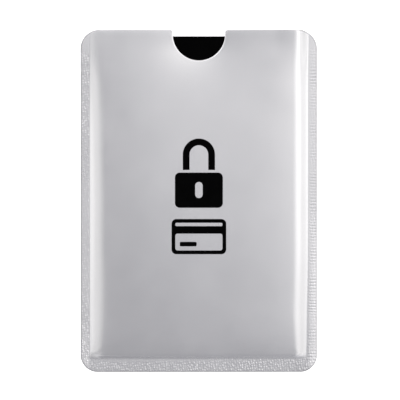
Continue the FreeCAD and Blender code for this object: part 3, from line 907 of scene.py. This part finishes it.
# ----------------------------------------------------------------------- studio
floor_mesh = bpy.data.meshes.new("floor")
F = 3.0
floor_mesh.from_pydata([(-F, -F, 0), (F, -F, 0), (F, F, 0), (-F, F, 0)], [], [(0, 1, 2, 3)])
floor = bpy.data.objects.new("floor", floor_mesh)
floor.location.z = -0.00002
scene.collection.objects.link(floor)
m, nt, b = material("white_floor")
nt.links.new(ramp(nt, noise(nt, coords(nt), 0.01, 2.0), [(0.3, 0.90), (0.7, 0.92)]), b.inputs["Base Color"])
b.inputs["Roughness"].default_value = 0.9
b.inputs["Specular IOR Level"].default_value = 0.1
b.inputs["Emission Color"].default_value = (1, 1, 1, 1)
b.inputs["Emission Strength"].default_value = 0.64
floor_mesh.materials.append(m)

world = bpy.data.worlds.new("studio")
scene.world = world
world.use_nodes = True
wt = world.node_tree
wt.nodes.clear()
w_out = wt.nodes.new("ShaderNodeOutputWorld")
w_bg = wt.nodes.new("ShaderNodeBackground")
w_tc = wt.nodes.new("ShaderNodeTexCoord")
w_xyz = wt.nodes.new("ShaderNodeSeparateXYZ")
wt.links.new(w_tc.outputs["Generated"], w_xyz.inputs[0])
slope_x, slope_y, middle_tone = 3.56, 2.09, 0.541     # dome: brighter to the right and beyond the mouth
w_x = wt.nodes.new("ShaderNodeMath"); w_x.operation = "MULTIPLY_ADD"
w_x.inputs[1].default_value, w_x.inputs[2].default_value = slope_x, middle_tone
wt.links.new(w_xyz.outputs["X"], w_x.inputs[0])
w_y = wt.nodes.new("ShaderNodeMath"); w_y.operation = "MULTIPLY_ADD"
w_y.inputs[1].default_value = slope_y
wt.links.new(w_xyz.outputs["Y"], w_y.inputs[0])
wt.links.new(w_x.outputs[0], w_y.inputs[2])
w_near = wt.nodes.new("ShaderNodeMath"); w_near.operation = "MULTIPLY_ADD"
w_near.inputs[1].default_value = 0.35
wt.links.new(w_xyz.outputs["X"], w_near.inputs[0])
wt.links.new(w_xyz.outputs["Y"], w_near.inputs[2])


def ease(source, a, b, c, d):
    n = wt.nodes.new("ShaderNodeMapRange"); n.interpolation_type = "SMOOTHSTEP"
    n.inputs["From Min"].default_value, n.inputs["From Max"].default_value = a, b
    n.inputs["To Min"].default_value, n.inputs["To Max"].default_value = c, d
    wt.links.new(source, n.inputs["Value"])
    return n.outputs["Result"]


w_clip = wt.nodes.new("ShaderNodeClamp")
w_clip.inputs["Min"].default_value, w_clip.inputs["Max"].default_value = 0.435, 1.08
wt.links.new(w_y.outputs[0], w_clip.inputs[0])
w_sum = maths(wt, "ADD", w_clip.outputs[0], ease(w_near.outputs[0], -0.20, -0.11, -0.03, 0.0))    # falls off nearer
w_sum = maths(wt, "ADD", w_sum, ease(w_near.outputs[0], 0.11, 0.18, 0.0, 0.075))                  # and gains beyond
w_lit = maths(wt, "MULTIPLY", ease(w_xyz.outputs["X"], -0.03, 0.06, 0.0, 1.0), ease(w_xyz.outputs["Y"], -0.42, -0.22, 0.09, 0.0))
w_sum = maths(wt, "ADD", w_sum, w_lit)
w_up = wt.nodes.new("ShaderNodeMapRange"); w_up.interpolation_type = "SMOOTHSTEP"
w_up.inputs["From Min"].default_value, w_up.inputs["From Max"].default_value = 0.50, 0.86
wt.links.new(w_xyz.outputs["Z"], w_up.inputs["Value"])
w_side = wt.nodes.new("ShaderNodeMath"); w_side.operation = "MULTIPLY_ADD"
w_side.inputs[1].default_value, w_side.inputs[2].default_value = 0.5, 0.5
wt.links.new(w_xyz.outputs["X"], w_side.inputs[0])
w_low = ramp(wt, w_side.outputs[0], [                 # low on the horizon: grey ahead, paler walls at the sides
    (0.0, 0.70), (0.275, 0.70), (0.41, 0.46), (0.50, 0.44), (0.535, 0.53), (0.725, 0.78), (1.0, 0.78)])
w_low = maths(wt, "ADD", w_low, ease(w_xyz.outputs["Y"], -0.75, 0.75, -0.035, 0.035))
w_low = maths(wt, "ADD", w_low, ease(w_xyz.outputs["Y"], 0.30, 0.80, 0.0, 0.28))
w_all = wt.nodes.new("ShaderNodeMix")
wt.links.new(w_low, w_all.inputs[2])
wt.links.new(w_up.outputs[0], w_all.inputs[0])
wt.links.new(w_sum, w_all.inputs[3])
wt.links.new(w_all.outputs[0], w_bg.inputs["Strength"])
w_tint = wt.nodes.new("ShaderNodeMix")
w_tint.data_type = "RGBA"
w_tint.inputs[6].default_value = (0.992, 0.986, 1.045, 1)
w_tint.inputs[7].default_value = (1.0, 0.984, 0.99, 1)
w_warm = wt.nodes.new("ShaderNodeMapRange")
w_warm.inputs["From Min"].default_value, w_warm.inputs["From Max"].default_value = 0.65, 1.05
wt.links.new(w_clip.outputs[0], w_warm.inputs["Value"])
wt.links.new(w_warm.outputs[0], w_tint.inputs[0])
wt.links.new(w_tint.outputs[2], w_bg.inputs["Color"])
wt.links.new(w_bg.outputs[0], w_out.inputs[0])


def softbox(name, x0, x1, y0, y1, z, radiance, colour=(1, 1, 1)):
    """Level light over a rectangle, facing down, by its radiance."""
    data = bpy.data.lights.new(name, "AREA")
    data.shape = "RECTANGLE"
    data.size, data.size_y = x1 - x0, y1 - y0
    data.energy = radiance * math.pi * data.size * data.size_y
    data.color = colour
    ob = bpy.data.objects.new(name, data)
    ob.location = ((x0 + x1) / 2, (y0 + y1) / 2, z)
    scene.collection.objects.link(ob)
    return ob


H = 0.60


def at(angle):
    return H * math.tan(math.radians(angle))


WARM = (1.0, 0.982, 0.945)
softbox("key_right", at(13.44), at(35.0), at(-5.9), at(40), H, 0.39)
softbox("key_side", at(35.0), at(46.0), at(-5.9), at(40), H, 0.04)
softbox("key_rim", at(46.0), at(73.0), at(-5.9), at(40), H, 0.36)
softbox("key_far", at(-22), at(-9.8), at(18.2), at(38), H, 1.25)
softbox("strip_left", at(-34), at(-15.3), at(-15.6), at(35), H, 0.549, WARM)
softbox("fill_left", at(-48), at(-34), at(-15.6), at(35), H, 0.821, WARM)
softbox("strip_low", at(-40), at(-15.3), at(-27), at(-15.6), H, 0.19, WARM)
softbox("corner_low", at(-50), at(-13.0), at(-60), at(-27), H, 0.29, WARM)
softbox("key_low", at(22.0), at(60.0), at(-60), at(-24), H, 0.12)
softbox("strip_over", -0.066, -0.008, -0.020, 0.044, H, 0.17)

# ----------------------------------------------------------------------- camera
PX = 0.2674 * MM                                  # one pixel of a 400 px frame at the sleeve
cam_data = bpy.data.cameras.new("camera")
cam_data.sensor_width = 36.0
cam_data.lens = 120.0
cam = bpy.data.objects.new("camera", cam_data)
aim = (1.1 * PX, 1.05 * PX)                       # the sleeve's middle is at (198.9, 201.05)
cam.location = (aim[0], aim[1], 0.0012 + 400 * PX * cam_data.lens / cam_data.sensor_width)
cam.rotation_euler = (0, 0, 0)
cam_data.clip_start, cam_data.clip_end = 0.01, 20
scene.collection.objects.link(cam)
scene.camera = cam
scene.view_settings.view_transform = "Standard"
scene.view_settings.look = "None"
